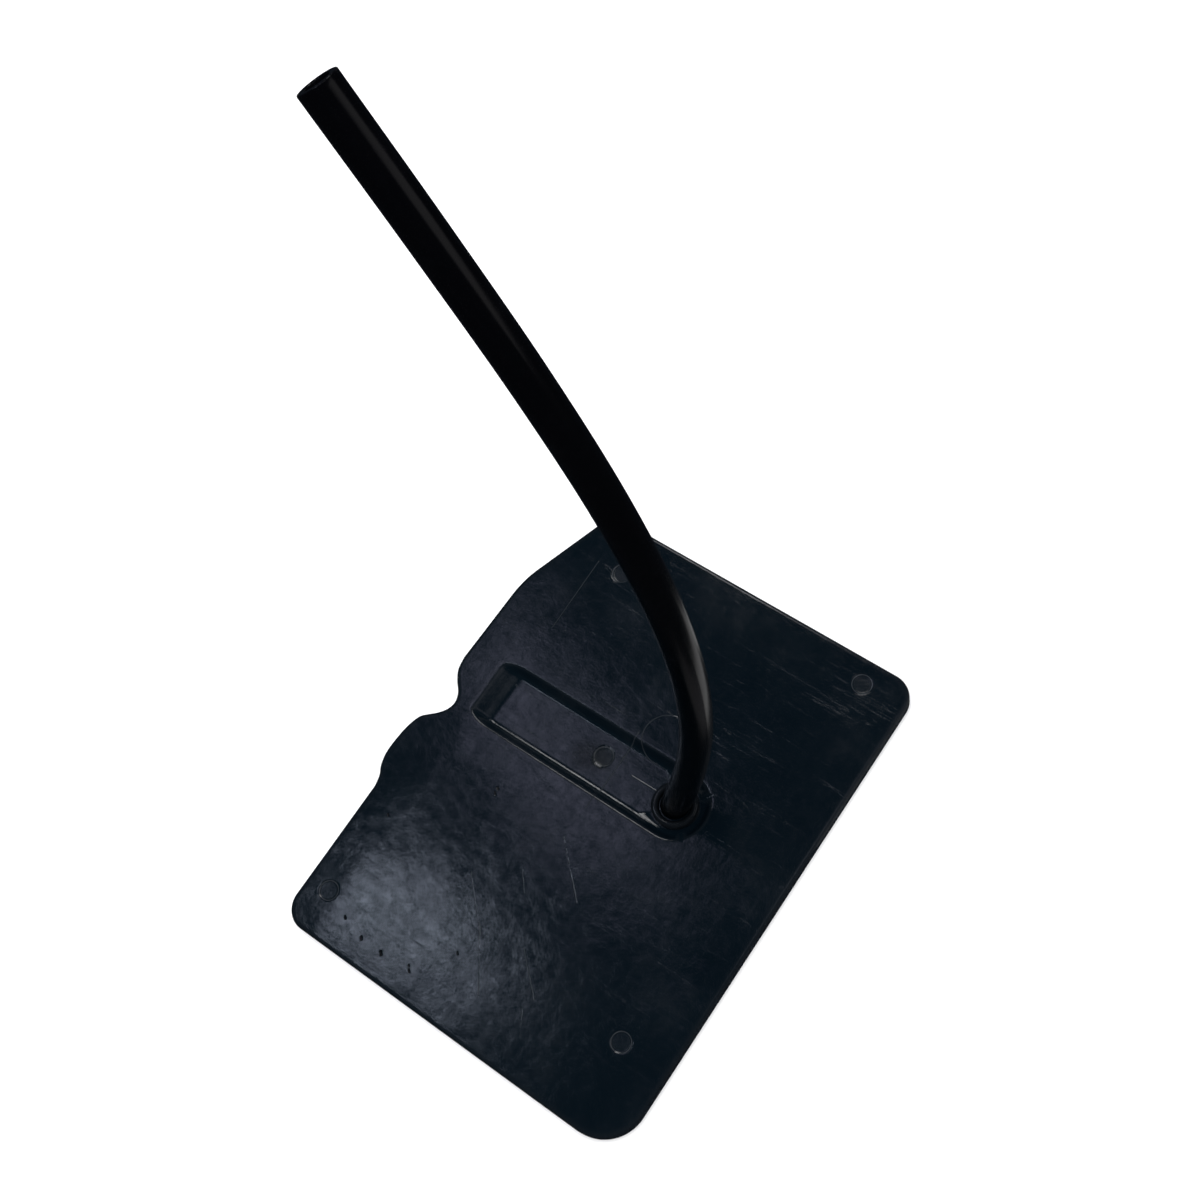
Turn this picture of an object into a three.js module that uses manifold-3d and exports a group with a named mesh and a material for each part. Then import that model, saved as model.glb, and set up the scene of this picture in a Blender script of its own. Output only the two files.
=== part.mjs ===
// Batting tee: a flat moulded plate with one angled stub near its middle, and a
// flexible tube pushed over the stub. Millimetres, Z up, the plate's underside on Z = 0
// and its middle on X = Y = 0. The notched long edge faces +X.
import * as THREE from "three";
import { mergeVertices } from "three/addons/utils/BufferGeometryUtils.js";
import Module from "manifold-3d";

// Plate
const PLATE_WIDTH = 356;
const PLATE_LENGTH = 457;
const PLATE_THICKNESS = 13;
const EDGE_ROUND = 2.5;
const EDGE_ROUND_STEPS = 3;
const OUTLINE_SEGMENTS = 5;
const SMALL_CORNER = 22;
const LARGE_CORNER = 38;
const NOTCHED_SIDE_X = 176.5;
// Clipped corner: each bend's start, control point and end
const CLIP_BEND = [[134, -228.5], [142.5, -228.5], [146, -217]];
const SHOULDER_BEND = [[171, -149], [176, -136], [177, -119]];
// Notched edge, from the clipped corner to the straight run at the other end
const NOTCHED_EDGE = [
  [179.4, -45], [176.9, -32.8], [171.2, -23.9], [163.8, -15.3], [160.9, -7.1],
  [162.3, 0.4], [167.7, 8.2], [174.4, 14.2], [180.5, 20.3], [184.6, 32.4],
  [186.6, 49], [186.5, 64], [183.3, 75.8], [179.1, 83], [176.5, 93],
];
// The top falls away slightly towards the notched edge
const MARGIN_START = 140;
const MARGIN_END = 188;
const MARGIN_DROP = 1.8;
const MARGIN_CUT_HEIGHT = 5;
// Trough
const TROUGH_DEPTH = 7;
const TROUGH_WALL_RUN = 9.5;
const TROUGH_FLOOR_RADIUS = 22;
const TROUGH_FAR_END = 136;
const TROUGH_CORNER = 6;
const TROUGH_CORNER_SEGMENTS = 12;
const TROUGH_CUT_HEIGHT = 10;
const RAMP_START = 127;
const RAMP_END = 146;
const RAMP_HALF_WIDTH = 60;
// Shallow round marks left by the mould: centre X, centre Y, surface Z
const MARK_RADIUS = 9;
const MARK_DEPTH = 0.8;
const MARK_SEGMENTS = 28;
const MARKS = [
  [152.7, 188.7, 12.4],
  [-131.7, 152.4, 13],
  [-135.3, -206.5, 13],
  [101, -184.8, 13],
  [19.6, -37.4, 6],
];

// Socket
const SOCKET_X = -58;
const SOCKET_Y = -34;
const PAD_RADIUS = 14;
const PAD_TOP = 9;
const COLLAR_INNER = 14.3;
const COLLAR_OUTER = 20.6;
const COLLAR_TOP = 13.2;
const COLLAR_OUTER_SHOULDER = 9.6;
const COLLAR_INNER_SHOULDER = 10.4;
const COLLAR_ROLL_STEPS = 4;
const COLLAR_SEGMENTS = 40;
const GAP = 0.3;

// Stub and its screw
const STUB_LEAN = new THREE.Vector3(-0.213, -0.13, 0.968).normalize();
const STUB_RADIUS = 7.6;
const STUB_LENGTH = 22;
const STUB_TIP_TAPER = [1.5, 3.5];
// The stub and the tube start this far below the pad and are trimmed level with it
const BELOW_START = 6;
const SCREW_RADIUS = 3;
const SCREW_HOLE_RADIUS = 3.35;
const SCREW_TOP = 21;
const SCREW_HEAD_RADIUS = 6.5;
const SCREW_HEAD_BOTTOM = 0.8;
const SCREW_HEAD_TOP = 4.1;
const KEY_RADIUS = 2.4;
const KEY_DEPTH = 2;
const WASHER_RADIUS = 10.8;
const WASHER_BOTTOM = 4.4;
const WASHER_TOP = 5.3;
const COUNTERBORE_RADIUS = 11.5;
const COUNTERBORE_TOP = 5.6;
const HOLE_SEGMENTS = 20;
const HEX_SEGMENTS = 6;

// Tube: outer and bore radius, the way its middle line runs, and how far along it flexes
const TUBE_RADIUS = 12.7;
const BORE_RADIUS = 8;
const TUBE_START = new THREE.Vector3(SOCKET_X, SOCKET_Y, PAD_TOP + GAP);
const TUBE_STRAIGHT_START = 30;
const TUBE_LINE = [
  [-79.3, -46.8, 108], [-92.8, -58.6, 207], [-95, -69, 306], [-83, -79.2, 404.5],
  [-54.6, -90.4, 499], [-11.6, -103, 588], [43.4, -117.8, 670], [105, -134.7, 746.5],
];
const FLEX_POINTS = [27, 130, 300, 500];
const DOME_RADIUS = 12.6;
const CUP_RADIUS = 13.1;
const TUBE_STEP = 16;
const TUBE_SEGMENTS = 14;
const LENGTH_DIVISIONS = 800;
const ROUND_SEGMENTS = 32;
const BALL_RINGS = 24;
// Cutting blocks reach past whatever they cut
const CUT_BLOCK = 50;
const CUT_OVERLAP = 1;

const wasm = await Module();
wasm.setup();

// A geometry as a solid that can be cut and joined.
function solid(geometry) {
  const bare = geometry.clone();
  bare.deleteAttribute("normal");
  bare.deleteAttribute("uv");
  const merged = mergeVertices(bare, 1e-4);
  const mesh = new wasm.Mesh({
    numProp: 3,
    vertProperties: merged.attributes.position.array,
    triVerts: new Uint32Array(merged.index.array),
  });
  return new wasm.Manifold(mesh);
}

// A cylinder about a vertical line, from one height to another.
function post(x, y, radius, bottom, top, segments = ROUND_SEGMENTS) {
  const height = top - bottom;
  const geometry = new THREE.CylinderGeometry(radius, radius, height, segments);
  geometry.rotateX(Math.PI / 2);
  geometry.translate(x, y, bottom + height / 2);
  return solid(geometry);
}

// A prism with the given outline in X and Z, running along Y between two values.
function prism(outline, from, to) {
  const shape = new THREE.Shape(outline.map(([x, z]) => new THREE.Vector2(x, z)));
  const geometry = new THREE.ExtrudeGeometry(shape, {
    depth: to - from,
    bevelEnabled: false,
  });
  geometry.rotateX(Math.PI / 2);
  geometry.translate(0, to, 0);
  return solid(geometry);
}

// A ball, for the domed and cupped ends of the tube's lengths.
function ball(centre, radius) {
  const geometry = new THREE.SphereGeometry(radius, ROUND_SEGMENTS, BALL_RINGS);
  geometry.translate(centre.x, centre.y, centre.z);
  return solid(geometry);
}

const part = new THREE.Group();

// Adds a solid to the part as one named mesh.
function add(name, body, colour, roughness, metalness = 0) {
  const mesh = body.getMesh();
  const geometry = new THREE.BufferGeometry();
  const positions = new THREE.BufferAttribute(mesh.vertProperties, 3);
  geometry.setAttribute("position", positions);
  geometry.setIndex(new THREE.BufferAttribute(mesh.triVerts, 1));
  const material = new THREE.MeshStandardMaterial({ color: colour, roughness, metalness });
  const node = new THREE.Mesh(geometry, material);
  node.name = name;
  part.add(node);
}

// Plate outline, anticlockwise from the corner at -X -Y. The corner at +X -Y is
// clipped at a slant, and a swelling and a thumb notch break the +X edge.
const left = -PLATE_WIDTH / 2;
const near = -PLATE_LENGTH / 2;
const far = PLATE_LENGTH / 2;
const plateOutline = new THREE.Shape();
plateOutline.moveTo(left + SMALL_CORNER, near);
for (const [start, control, end] of [CLIP_BEND, SHOULDER_BEND]) {
  plateOutline.lineTo(...start);
  plateOutline.quadraticCurveTo(...control, ...end);
}
plateOutline.lineTo(...NOTCHED_EDGE[0]);
plateOutline.splineThru(NOTCHED_EDGE.slice(1).map(([x, y]) => new THREE.Vector2(x, y)));
const notchedCornerX = NOTCHED_SIDE_X - SMALL_CORNER;
plateOutline.lineTo(NOTCHED_SIDE_X, far - SMALL_CORNER);
plateOutline.absarc(
  notchedCornerX, far - SMALL_CORNER, SMALL_CORNER, 0, Math.PI / 2, false);
plateOutline.lineTo(left + LARGE_CORNER, far);
plateOutline.absarc(
  left + LARGE_CORNER, far - LARGE_CORNER, LARGE_CORNER, Math.PI / 2, Math.PI, false);
plateOutline.lineTo(left, near + SMALL_CORNER);
plateOutline.absarc(
  left + SMALL_CORNER, near + SMALL_CORNER, SMALL_CORNER, Math.PI, 1.5 * Math.PI, false);

const slab = new THREE.ExtrudeGeometry(plateOutline, {
  depth: PLATE_THICKNESS - 2 * EDGE_ROUND,
  curveSegments: OUTLINE_SEGMENTS,
  bevelThickness: EDGE_ROUND,
  bevelSize: EDGE_ROUND,
  bevelOffset: -EDGE_ROUND,
  bevelSegments: EDGE_ROUND_STEPS,
});
slab.translate(0, 0, EDGE_ROUND);

// Trough: a half-round end about the socket, a squarer end near the notch, sloping
// walls, and a longer ramp at the square end.
const troughFloor = new THREE.Shape();
const floorHalf = TROUGH_FLOOR_RADIUS;
const farCorner = TROUGH_FAR_END - TROUGH_CORNER;
const cornerY = floorHalf - TROUGH_CORNER;
troughFloor.moveTo(SOCKET_X, SOCKET_Y - floorHalf);
troughFloor.lineTo(farCorner, SOCKET_Y - floorHalf);
troughFloor.absarc(farCorner, SOCKET_Y - cornerY, TROUGH_CORNER, -Math.PI / 2, 0, false);
troughFloor.lineTo(TROUGH_FAR_END, SOCKET_Y + cornerY);
troughFloor.absarc(farCorner, SOCKET_Y + cornerY, TROUGH_CORNER, 0, Math.PI / 2, false);
troughFloor.lineTo(SOCKET_X, SOCKET_Y + floorHalf);
troughFloor.absarc(SOCKET_X, SOCKET_Y, floorHalf, Math.PI / 2, 1.5 * Math.PI, false);
const troughSpace = new THREE.ExtrudeGeometry(troughFloor, {
  depth: TROUGH_CUT_HEIGHT,
  curveSegments: TROUGH_CORNER_SEGMENTS,
  bevelThickness: TROUGH_DEPTH,
  bevelSize: TROUGH_WALL_RUN,
  bevelSegments: 1,
});
troughSpace.translate(0, 0, PLATE_THICKNESS);
const troughBottom = PLATE_THICKNESS - TROUGH_DEPTH;
const underRamp = troughBottom - CUT_OVERLAP;
const ramp = prism(
  [[RAMP_START, underRamp], [RAMP_END + CUT_OVERLAP, underRamp],
    [RAMP_END + CUT_OVERLAP, PLATE_THICKNESS], [RAMP_END, PLATE_THICKNESS],
    [RAMP_START, troughBottom]],
  SOCKET_Y - RAMP_HALF_WIDTH,
  SOCKET_Y + RAMP_HALF_WIDTH,
);
const overPlate = PLATE_THICKNESS + MARGIN_CUT_HEIGHT;
const margin = prism(
  [[MARGIN_START, PLATE_THICKNESS], [MARGIN_END, PLATE_THICKNESS - MARGIN_DROP],
    [MARGIN_END, overPlate], [MARGIN_START, overPlate]],
  near - CUT_OVERLAP,
  far + CUT_OVERLAP,
);

let plate = solid(slab);
plate = plate.subtract(solid(troughSpace).subtract(ramp));
plate = plate.subtract(margin);
plate = plate.add(
  post(SOCKET_X, SOCKET_Y, PAD_RADIUS, troughBottom - CUT_OVERLAP, PAD_TOP));
plate = plate.subtract(
  post(SOCKET_X, SOCKET_Y, COUNTERBORE_RADIUS, -CUT_OVERLAP, COUNTERBORE_TOP));
const aboveScrew = SCREW_TOP + CUT_OVERLAP;
const screwHole = post(
  SOCKET_X, SOCKET_Y, SCREW_HOLE_RADIUS, -CUT_OVERLAP, aboveScrew, HOLE_SEGMENTS);
plate = plate.subtract(screwHole);
for (const [x, y, surface] of MARKS) {
  const bottom = surface - MARK_DEPTH;
  plate = plate.subtract(post(x, y, MARK_RADIUS, bottom, overPlate, MARK_SEGMENTS));
}
add("base_plate", plate, 0x10161a, 0.55);

// Collar: a ring with a rolled top that lies on the trough floor round the tube.
const collarMiddle = (COLLAR_INNER + COLLAR_OUTER) / 2;
const collarBottom = troughBottom + GAP;
const collarProfile = new THREE.Path();
collarProfile.moveTo(COLLAR_INNER, collarBottom);
collarProfile.lineTo(COLLAR_OUTER, collarBottom);
collarProfile.lineTo(COLLAR_OUTER, COLLAR_OUTER_SHOULDER);
collarProfile.quadraticCurveTo(COLLAR_OUTER, COLLAR_TOP, collarMiddle, COLLAR_TOP);
collarProfile.quadraticCurveTo(
  COLLAR_INNER, COLLAR_TOP, COLLAR_INNER, COLLAR_INNER_SHOULDER);
collarProfile.closePath();
const collarPoints = collarProfile.getPoints(COLLAR_ROLL_STEPS);
const collar = new THREE.LatheGeometry(collarPoints, COLLAR_SEGMENTS);
collar.rotateX(Math.PI / 2);
collar.translate(SOCKET_X, SOCKET_Y, 0);
add("socket_collar", solid(collar), 0x0c1013, 0.3);

// Stub: a plug that leans with the tube's foot and is tapped for the screw.
const [tipInset, tipLength] = STUB_TIP_TAPER;
const stubProfile = [
  [0, -BELOW_START], [STUB_RADIUS, -BELOW_START],
  [STUB_RADIUS, STUB_LENGTH - tipLength],
  [STUB_RADIUS - tipInset, STUB_LENGTH], [0, STUB_LENGTH],
].map(([r, z]) => new THREE.Vector2(r, z));
const stubGeometry = new THREE.LatheGeometry(stubProfile, ROUND_SEGMENTS);
stubGeometry.rotateX(Math.PI / 2);
const up = new THREE.Vector3(0, 0, 1);
stubGeometry.applyQuaternion(new THREE.Quaternion().setFromUnitVectors(up, STUB_LEAN));
stubGeometry.translate(TUBE_START.x, TUBE_START.y, TUBE_START.z);
const belowPad = post(SOCKET_X, SOCKET_Y, CUT_BLOCK, -CUT_BLOCK, PAD_TOP + GAP);
const stub = solid(stubGeometry).subtract(belowPad).subtract(screwHole);
add("tube_stub", stub, 0x1b1d1f, 0.6);

// Screw and washer, up through the plate from a counterbore in its underside.
const shankBottom = SCREW_HEAD_TOP - CUT_OVERLAP;
let screw = post(
  SOCKET_X, SOCKET_Y, SCREW_RADIUS, shankBottom, SCREW_TOP, HOLE_SEGMENTS);
screw = screw.add(
  post(SOCKET_X, SOCKET_Y, SCREW_HEAD_RADIUS, SCREW_HEAD_BOTTOM, SCREW_HEAD_TOP));
const keyTop = SCREW_HEAD_BOTTOM + KEY_DEPTH;
screw = screw.subtract(
  post(SOCKET_X, SOCKET_Y, KEY_RADIUS, -CUT_OVERLAP, keyTop, HEX_SEGMENTS));
add("stub_screw", screw, 0x8a8d90, 0.35, 1);

let washer = post(SOCKET_X, SOCKET_Y, WASHER_RADIUS, WASHER_BOTTOM, WASHER_TOP);
washer = washer.subtract(screwHole);
add("screw_washer", washer, 0x94979a, 0.4, 1);

// Tube: one hose, drawn as five lengths that meet at ball-shaped ends where it flexes.
const straightEnd = TUBE_START.clone().addScaledVector(STUB_LEAN, TUBE_STRAIGHT_START);
const tubePoints = [TUBE_START, straightEnd];
tubePoints.push(...TUBE_LINE.map(([x, y, z]) => new THREE.Vector3(x, y, z)));
const tubeLine = new THREE.CatmullRomCurve3(tubePoints, false, "centripetal");
tubeLine.arcLengthDivisions = LENGTH_DIVISIONS;
const tubeLength = tubeLine.getLength();
const wall = new THREE.Shape();
wall.absarc(0, 0, TUBE_RADIUS, 0, 2 * Math.PI, false);
const bore = new THREE.Path();
bore.absarc(0, 0, BORE_RADIUS, 0, 2 * Math.PI, true);
wall.holes.push(bore);

// The hose between two distances along its middle line.
function hose(from, to) {
  const steps = Math.max(3, Math.round((to - from) / TUBE_STEP));
  const points = [];
  for (let i = 0; i <= steps; i += 1) {
    const distance = from + ((to - from) * i) / steps;
    if (distance < 0) {
      points.push(TUBE_START.clone().addScaledVector(STUB_LEAN, distance));
    } else {
      points.push(tubeLine.getPointAt(Math.min(distance / tubeLength, 1)));
    }
  }
  const geometry = new THREE.ExtrudeGeometry(wall, {
    steps,
    curveSegments: TUBE_SEGMENTS,
    bevelEnabled: false,
    extrudePath: new THREE.CatmullRomCurve3(points),
  });
  return solid(geometry);
}

// Everything past a flex point except the ball-shaped end that is left standing there.
function beyond(distance) {
  const centre = tubeLine.getPointAt(distance / tubeLength);
  const along = tubeLine.getTangentAt(distance / tubeLength);
  const geometry = new THREE.BoxGeometry(CUT_BLOCK, CUT_BLOCK, CUT_BLOCK);
  geometry.translate(0, 0, CUT_BLOCK / 2);
  geometry.applyQuaternion(new THREE.Quaternion().setFromUnitVectors(up, along));
  geometry.translate(centre.x, centre.y, centre.z);
  return solid(geometry).subtract(ball(centre, DOME_RADIUS));
}

const stops = [-BELOW_START, ...FLEX_POINTS, tubeLength];
const lengths = [
  "tube_foot", "tube_lower", "tube_lower_middle", "tube_upper_middle", "tube_upper",
];
lengths.forEach((name, i) => {
  const first = i === 0;
  const last = i === FLEX_POINTS.length;
  const pastEnd = last ? 0 : DOME_RADIUS + CUT_OVERLAP;
  let length = hose(stops[i], stops[i + 1] + pastEnd);
  if (first) {
    length = length.subtract(belowPad);
  } else {
    const joint = tubeLine.getPointAt(stops[i] / tubeLength);
    length = length.subtract(ball(joint, CUP_RADIUS));
  }
  if (!last) {
    length = length.subtract(beyond(stops[i + 1]));
  }
  add(name, length, 0x050506, 0.3);
});

export default part;
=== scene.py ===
import math

import bmesh
import bpy
import numpy as np
from mathutils import Matrix, Vector


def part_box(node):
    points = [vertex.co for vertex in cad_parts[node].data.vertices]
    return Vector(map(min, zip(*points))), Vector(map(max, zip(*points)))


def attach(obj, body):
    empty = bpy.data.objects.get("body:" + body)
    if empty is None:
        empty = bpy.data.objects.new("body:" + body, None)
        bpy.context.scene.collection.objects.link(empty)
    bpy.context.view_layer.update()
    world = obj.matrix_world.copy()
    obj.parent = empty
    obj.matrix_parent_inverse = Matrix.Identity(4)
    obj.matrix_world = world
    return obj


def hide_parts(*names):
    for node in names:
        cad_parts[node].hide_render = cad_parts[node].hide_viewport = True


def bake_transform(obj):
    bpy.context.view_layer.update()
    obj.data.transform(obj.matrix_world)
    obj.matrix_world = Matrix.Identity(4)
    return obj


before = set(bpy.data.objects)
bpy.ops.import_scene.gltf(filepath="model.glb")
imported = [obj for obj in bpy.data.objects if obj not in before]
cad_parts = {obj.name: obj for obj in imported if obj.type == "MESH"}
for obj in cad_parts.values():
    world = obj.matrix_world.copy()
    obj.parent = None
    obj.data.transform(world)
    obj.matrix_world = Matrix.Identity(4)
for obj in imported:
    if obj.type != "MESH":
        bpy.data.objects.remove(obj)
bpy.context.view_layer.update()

# ---------------------------------------------------------------------------
# Camera. It stands beyond the plate's plain long side, looks steeply down across the
# tee and is rolled, so that the hose runs up towards the left of the picture.
# ---------------------------------------------------------------------------
CAMERA_PLACE = Vector((-0.4283, 0.1737, 1.3999))
CAMERA_AIM = Vector((0.1083, -0.1564, 0.0))
CAMERA_ROLL = math.radians(-25.4)
CAMERA_LENS = 51.2

camera_data = bpy.data.cameras.new("camera")
camera_data.lens = CAMERA_LENS
camera_data.sensor_width = 36.0
camera_data.dof.use_dof = False
camera = bpy.data.objects.new("camera", camera_data)
bpy.context.scene.collection.objects.link(camera)
camera_turn = (CAMERA_AIM - CAMERA_PLACE).to_track_quat("-Z", "Y").to_matrix().to_4x4()
camera.matrix_world = (
    Matrix.Translation(CAMERA_PLACE) @ camera_turn @ Matrix.Rotation(CAMERA_ROLL, 4, "Z")
)
bpy.context.scene.camera = camera

# ---------------------------------------------------------------------------
# Studio. A pale matt floor, one large overhead lamp that only brightens surfaces, soft
# boxes on the notch side whose reflections lie across the plate and trough, and three
# faint cards just above the floor that are reflected in the foot of the hose.
# ---------------------------------------------------------------------------
FLOOR_HALF_SIZE = 6.0
FLOOR_FADE = (1.1, 2.4)
FLOOR_DROP = 0.0002
FLOOR_COLOUR = (0.93, 0.93, 0.935, 1.0)
ROOM_SEEN = (1.0, 1.0, 1.0, 1.0)
ROOM_CAST = (0.012, 0.015, 0.020, 1.0)

scene = bpy.context.scene
scene.view_settings.view_transform = "Standard"
scene.view_settings.look = "None"


def add_node(tree, kind, settings=None, **sockets):
    """Adds a node, sets its properties, then sets or links its named input sockets."""
    made = tree.nodes.new(kind)
    for key, value in (settings or {}).items():
        setattr(made, key, value)
    for key, value in sockets.items():
        socket = made.inputs[key.replace("_", " ")]
        if isinstance(value, bpy.types.NodeSocket):
            tree.links.new(value, socket)
        else:
            socket.default_value = value
    return made


def maths(tree, operation, first, second=0.0, third=0.0, clamp=False):
    """One Math node; each operand is a number or a socket."""
    made = tree.nodes.new("ShaderNodeMath")
    made.operation = operation
    made.use_clamp = clamp
    for place, value in enumerate((first, second, third)):
        if isinstance(value, bpy.types.NodeSocket):
            tree.links.new(value, made.inputs[place])
        else:
            made.inputs[place].default_value = value
    return made.outputs[0]


def times(tree, first, second, clamp=False):
    """The product of two numbers or sockets."""
    return maths(tree, "MULTIPLY", first, second, clamp=clamp)


def minus(tree, first, second, clamp=False):
    """The first number or socket less the second."""
    return maths(tree, "SUBTRACT", first, second, clamp=clamp)


def plus(tree, total, socket, share, clamp=False):
    """The total and a share of one more socket, added."""
    return maths(tree, "ADD", total, times(tree, socket, share), clamp=clamp)


def noise(tree, place, **settings):
    """The value of a noise texture, read at place."""
    return add_node(tree, "ShaderNodeTexNoise", Vector=place, **settings).outputs[0]


floor_mesh = bpy.data.meshes.new("floor")
floor_corners = [
    (sx * FLOOR_HALF_SIZE, sy * FLOOR_HALF_SIZE, -FLOOR_DROP)
    for sx, sy in ((-1, -1), (1, -1), (1, 1), (-1, 1))
]
floor_mesh.from_pydata(floor_corners, [], [(0, 1, 2, 3)])
floor = bpy.data.objects.new("floor", floor_mesh)
scene.collection.objects.link(floor)
floor.visible_glossy = False
floor_material = bpy.data.materials.new("pale floor")
floor_material.use_nodes = True
floor_shader = floor_material.node_tree.nodes["Principled BSDF"]
floor_shader.inputs["Base Color"].default_value = FLOOR_COLOUR
floor_shader.inputs["Roughness"].default_value = 0.9
floor_shader.inputs["Specular IOR Level"].default_value = 0.1
floor_mesh.materials.append(floor_material)
floor_tree = floor_material.node_tree
floor_place = floor_tree.nodes.new("ShaderNodeTexCoord").outputs["Object"]
from_middle = add_node(floor_tree, "ShaderNodeVectorMath", {"operation": "LENGTH"},
                       Vector=floor_place)
fade = add_node(floor_tree, "ShaderNodeMapRange", {"interpolation_type": "SMOOTHSTEP"},
                Value=from_middle.outputs["Value"], From_Min=FLOOR_FADE[0],
                From_Max=FLOOR_FADE[1])
clear = floor_tree.nodes.new("ShaderNodeBsdfTransparent")
floor_mix = floor_tree.nodes.new("ShaderNodeMixShader")
floor_tree.links.new(fade.outputs["Result"], floor_mix.inputs[0])
floor_tree.links.new(floor_shader.outputs[0], floor_mix.inputs[1])
floor_tree.links.new(clear.outputs[0], floor_mix.inputs[2])
floor_tree.links.new(floor_mix.outputs[0], floor_tree.nodes["Material Output"].inputs["Surface"])

world = bpy.data.worlds.new("studio")
world.use_nodes = True
scene.world = world
world_tree = world.node_tree
world_seen = add_node(world_tree, "ShaderNodeBackground", Color=ROOM_SEEN)
world_cast = world_tree.nodes["Background"]
world_cast.inputs["Color"].default_value = ROOM_CAST
world_path = world_tree.nodes.new("ShaderNodeLightPath")
world_mix = world_tree.nodes.new("ShaderNodeMixShader")
world_tree.links.new(world_path.outputs["Is Camera Ray"], world_mix.inputs[0])
world_tree.links.new(world_cast.outputs[0], world_mix.inputs[1])
world_tree.links.new(world_seen.outputs[0], world_mix.inputs[2])
world_tree.links.new(world_mix.outputs[0], world_tree.nodes["World Output"].inputs[0])


def lamp(name, place, aim, width, height, power, colour, in_reflections):
    """A soft rectangular lamp at place that faces aim."""
    data = bpy.data.lights.new(name, "AREA")
    data.shape = "RECTANGLE"
    data.size = width
    data.size_y = height
    data.energy = power
    data.color = colour
    made = bpy.data.objects.new(name, data)
    scene.collection.objects.link(made)
    turn = (Vector(aim) - Vector(place)).to_track_quat("-Z", "Y").to_matrix().to_4x4()
    made.matrix_world = Matrix.Translation(place) @ turn
    made.visible_glossy = in_reflections
    made.visible_camera = False
    return made


lamp("overhead lamp", (0.0, 0.0, 3.2), (0, 0, 0), 4.5, 4.5, 260, (1, 1, 1), False)
lamp("plate soft box", (1.05, 0.18, 2.5), (0.1, 0.18, 0), 0.12, 0.46, 1.45,
     (0.72, 0.81, 1.0), True)
lamp("plate fill box", (1.03, -0.38, 2.5), (0.1, -0.1, 0), 0.20, 0.90, 0.85,
     (0.72, 0.73, 1.0), True)
lamp("trough rim box", (0.90, -1.60, 2.3), (0, 0, 0), 0.35, 0.90, 6.0, (1, 1, 1), True)
lamp("far wall box", (0.90, -2.60, 0.32), (0, 0, 0), 1.6, 0.34, 0.4, (0.95, 0.97, 1), True)
lamp("ramp box", (-0.40, -0.55, 2.5), (0, 0, 0), 0.85, 0.85, 0.8, (0.9, 0.9, 1), True)
lamp("side soft box", (-2.8, -1.6, 1.6), (0, 0, 0.2), 2.2, 1.6, 3.0, (1, 0.98, 1), True)
lamp("low reflector", (-0.255, -0.19, 0.002), (-0.255, -0.19, 1), 0.14, 0.24, 0.042,
     (1, 1, 1), True)
lamp("corner reflector", (-0.14, -0.275, 0.002), (-0.14, -0.275, 1), 0.09, 0.075, 0.009,
     (1, 1, 1), True)
lamp("faint reflector", (-0.255, 0.05, 0.002), (-0.255, 0.05, 1), 0.14, 0.22, 0.007,
     (1, 0.97, 1), True)

# ---------------------------------------------------------------------------
# Base plate. One slab of black rubber, pressed in a mould: rounded edge, a notched
# side, a long trough whose half-round end holds the socket, and five ejector marks.
# It lies flat on the ground under its own weight, and carries years of rubs.
# ---------------------------------------------------------------------------
plate_low, plate_high = (np.array(corner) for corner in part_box("base_plate"))
PLATE_TOP = plate_high[2]
PLATE_LEFT = plate_low[0]
PLATE_RIGHT = 0.1765
PLATE_NEAR = plate_low[1]
PLATE_FAR = plate_high[1]
SMALL_CORNER = 0.022
LARGE_CORNER = 0.038
CLIPPED_CORNER = [(0.134, PLATE_NEAR), (0.1425, PLATE_NEAR), (0.146, -0.217)]
CLIPPED_SHOULDER = [(0.171, -0.149), (0.176, -0.136), (0.177, -0.119)]
NOTCHED_EDGE = [
    (0.1794, -0.045), (0.1769, -0.0328), (0.1712, -0.0239), (0.1638, -0.0153),
    (0.1609, -0.0071), (0.1623, 0.0004), (0.1677, 0.0082), (0.1744, 0.0142),
    (0.1805, 0.0203), (0.1846, 0.0324), (0.1866, 0.049), (0.1865, 0.064),
    (0.1833, 0.0758), (0.1791, 0.083), (0.1765, 0.093),
]
MARGIN_START = 0.140
MARGIN_SLOPE = 0.0375
MARGIN_BLEND = 0.003
TROUGH_DEPTH = 0.007
TROUGH_RIM_RADIUS = 0.0315
TROUGH_WALL_RUN = 0.0095
TROUGH_RAMP_RUN = 0.026
TROUGH_END = 0.146
MARK_RADIUS = 0.009
MARK_WALL = 0.0009
MARK_DEPTH = 0.0008
MARKS = [
    (0.1527, 0.1887), (-0.1317, 0.1524), (-0.1353, -0.2065), (0.101, -0.1848),
    (0.0196, -0.0374),
]
collar_low, collar_high = (np.array(corner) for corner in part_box("socket_collar"))
SOCKET = (collar_low + collar_high)[:2] / 2
PAD_RADIUS = 0.014
PAD_TOP = 0.009
SCREW_HOLE_RADIUS = 0.00335
COUNTERBORE_RADIUS = 0.0115
COUNTERBORE_TOP = 0.0056
BLOCK_HALF = 0.024
BLOCK_CELLS = 24
EDGE_RADIUS = 0.003
FOOT_RADIUS = 0.0015
FOOT_FLAT = 0.005


def soft_ramp(share, toe, heel):
    """0 below share 0 and 1 above share 1, straight between, and eased by parabolas
    over the first part (toe) and the last part (heel) of the climb."""
    share = np.clip(share, 0.0, 1.0)
    slope = 1.0 / (1.0 - (toe + heel) / 2)
    low = slope * share**2 / (2 * toe)
    middle = slope * (share - toe / 2)
    high = 1.0 - slope * (1.0 - share) ** 2 / (2 * heel)
    return np.where(share < toe, low, np.where(share > 1.0 - heel, high, middle))


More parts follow.
